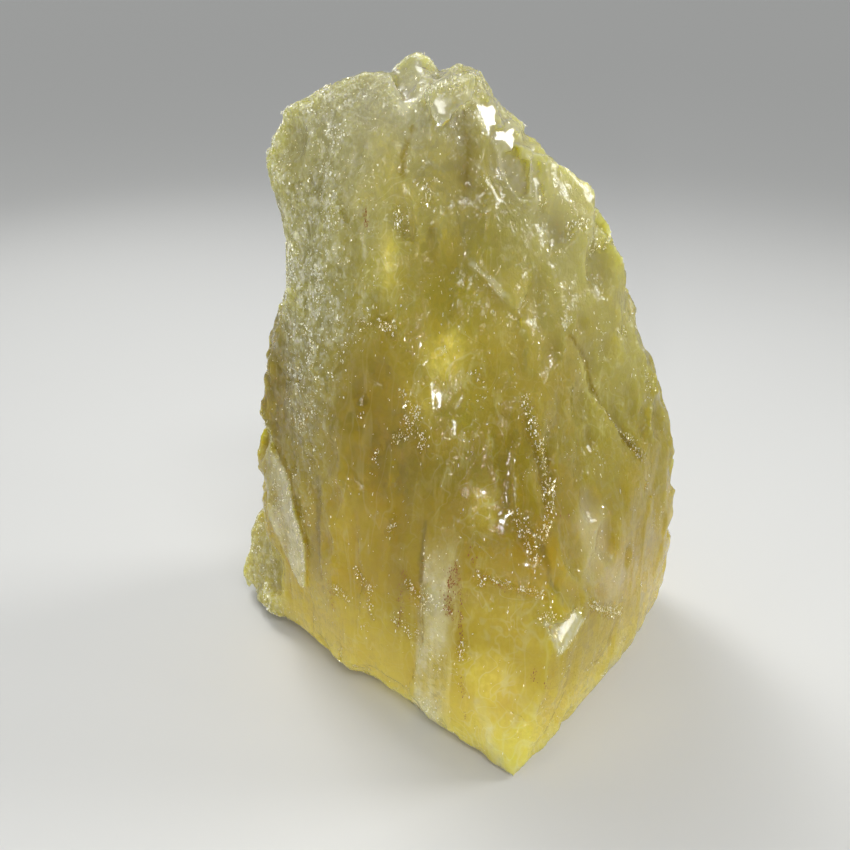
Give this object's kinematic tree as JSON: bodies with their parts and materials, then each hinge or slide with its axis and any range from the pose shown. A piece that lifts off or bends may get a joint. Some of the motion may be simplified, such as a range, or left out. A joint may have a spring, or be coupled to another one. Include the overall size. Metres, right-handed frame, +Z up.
{
  "type": "rough citrine",
  "caption": "Upright broken lump of see-through yellow quartz with a ragged crest, hollow break scars and a flat foot that it stands on.",
  "frame": {"origin": "on the surface that the lump stands on, under the middle of its bounding box", "axes": "+Z is up, +X is to the right and +Y is to the back, seen from the side with the sharp low tip, which points along -Y"},
  "size_m": [0.13, 0.1012, 0.16],
  "materials": {
    "citrine": "Yellow quartz, see-through to cloudy: glossy on the fresh break scars, frosted and grainy on the left side, greyer at the crest and deeper yellow at the foot"
  },
  "bodies": {
    "root": {"citrine": "citrine"}
  },
  "joints": []
}
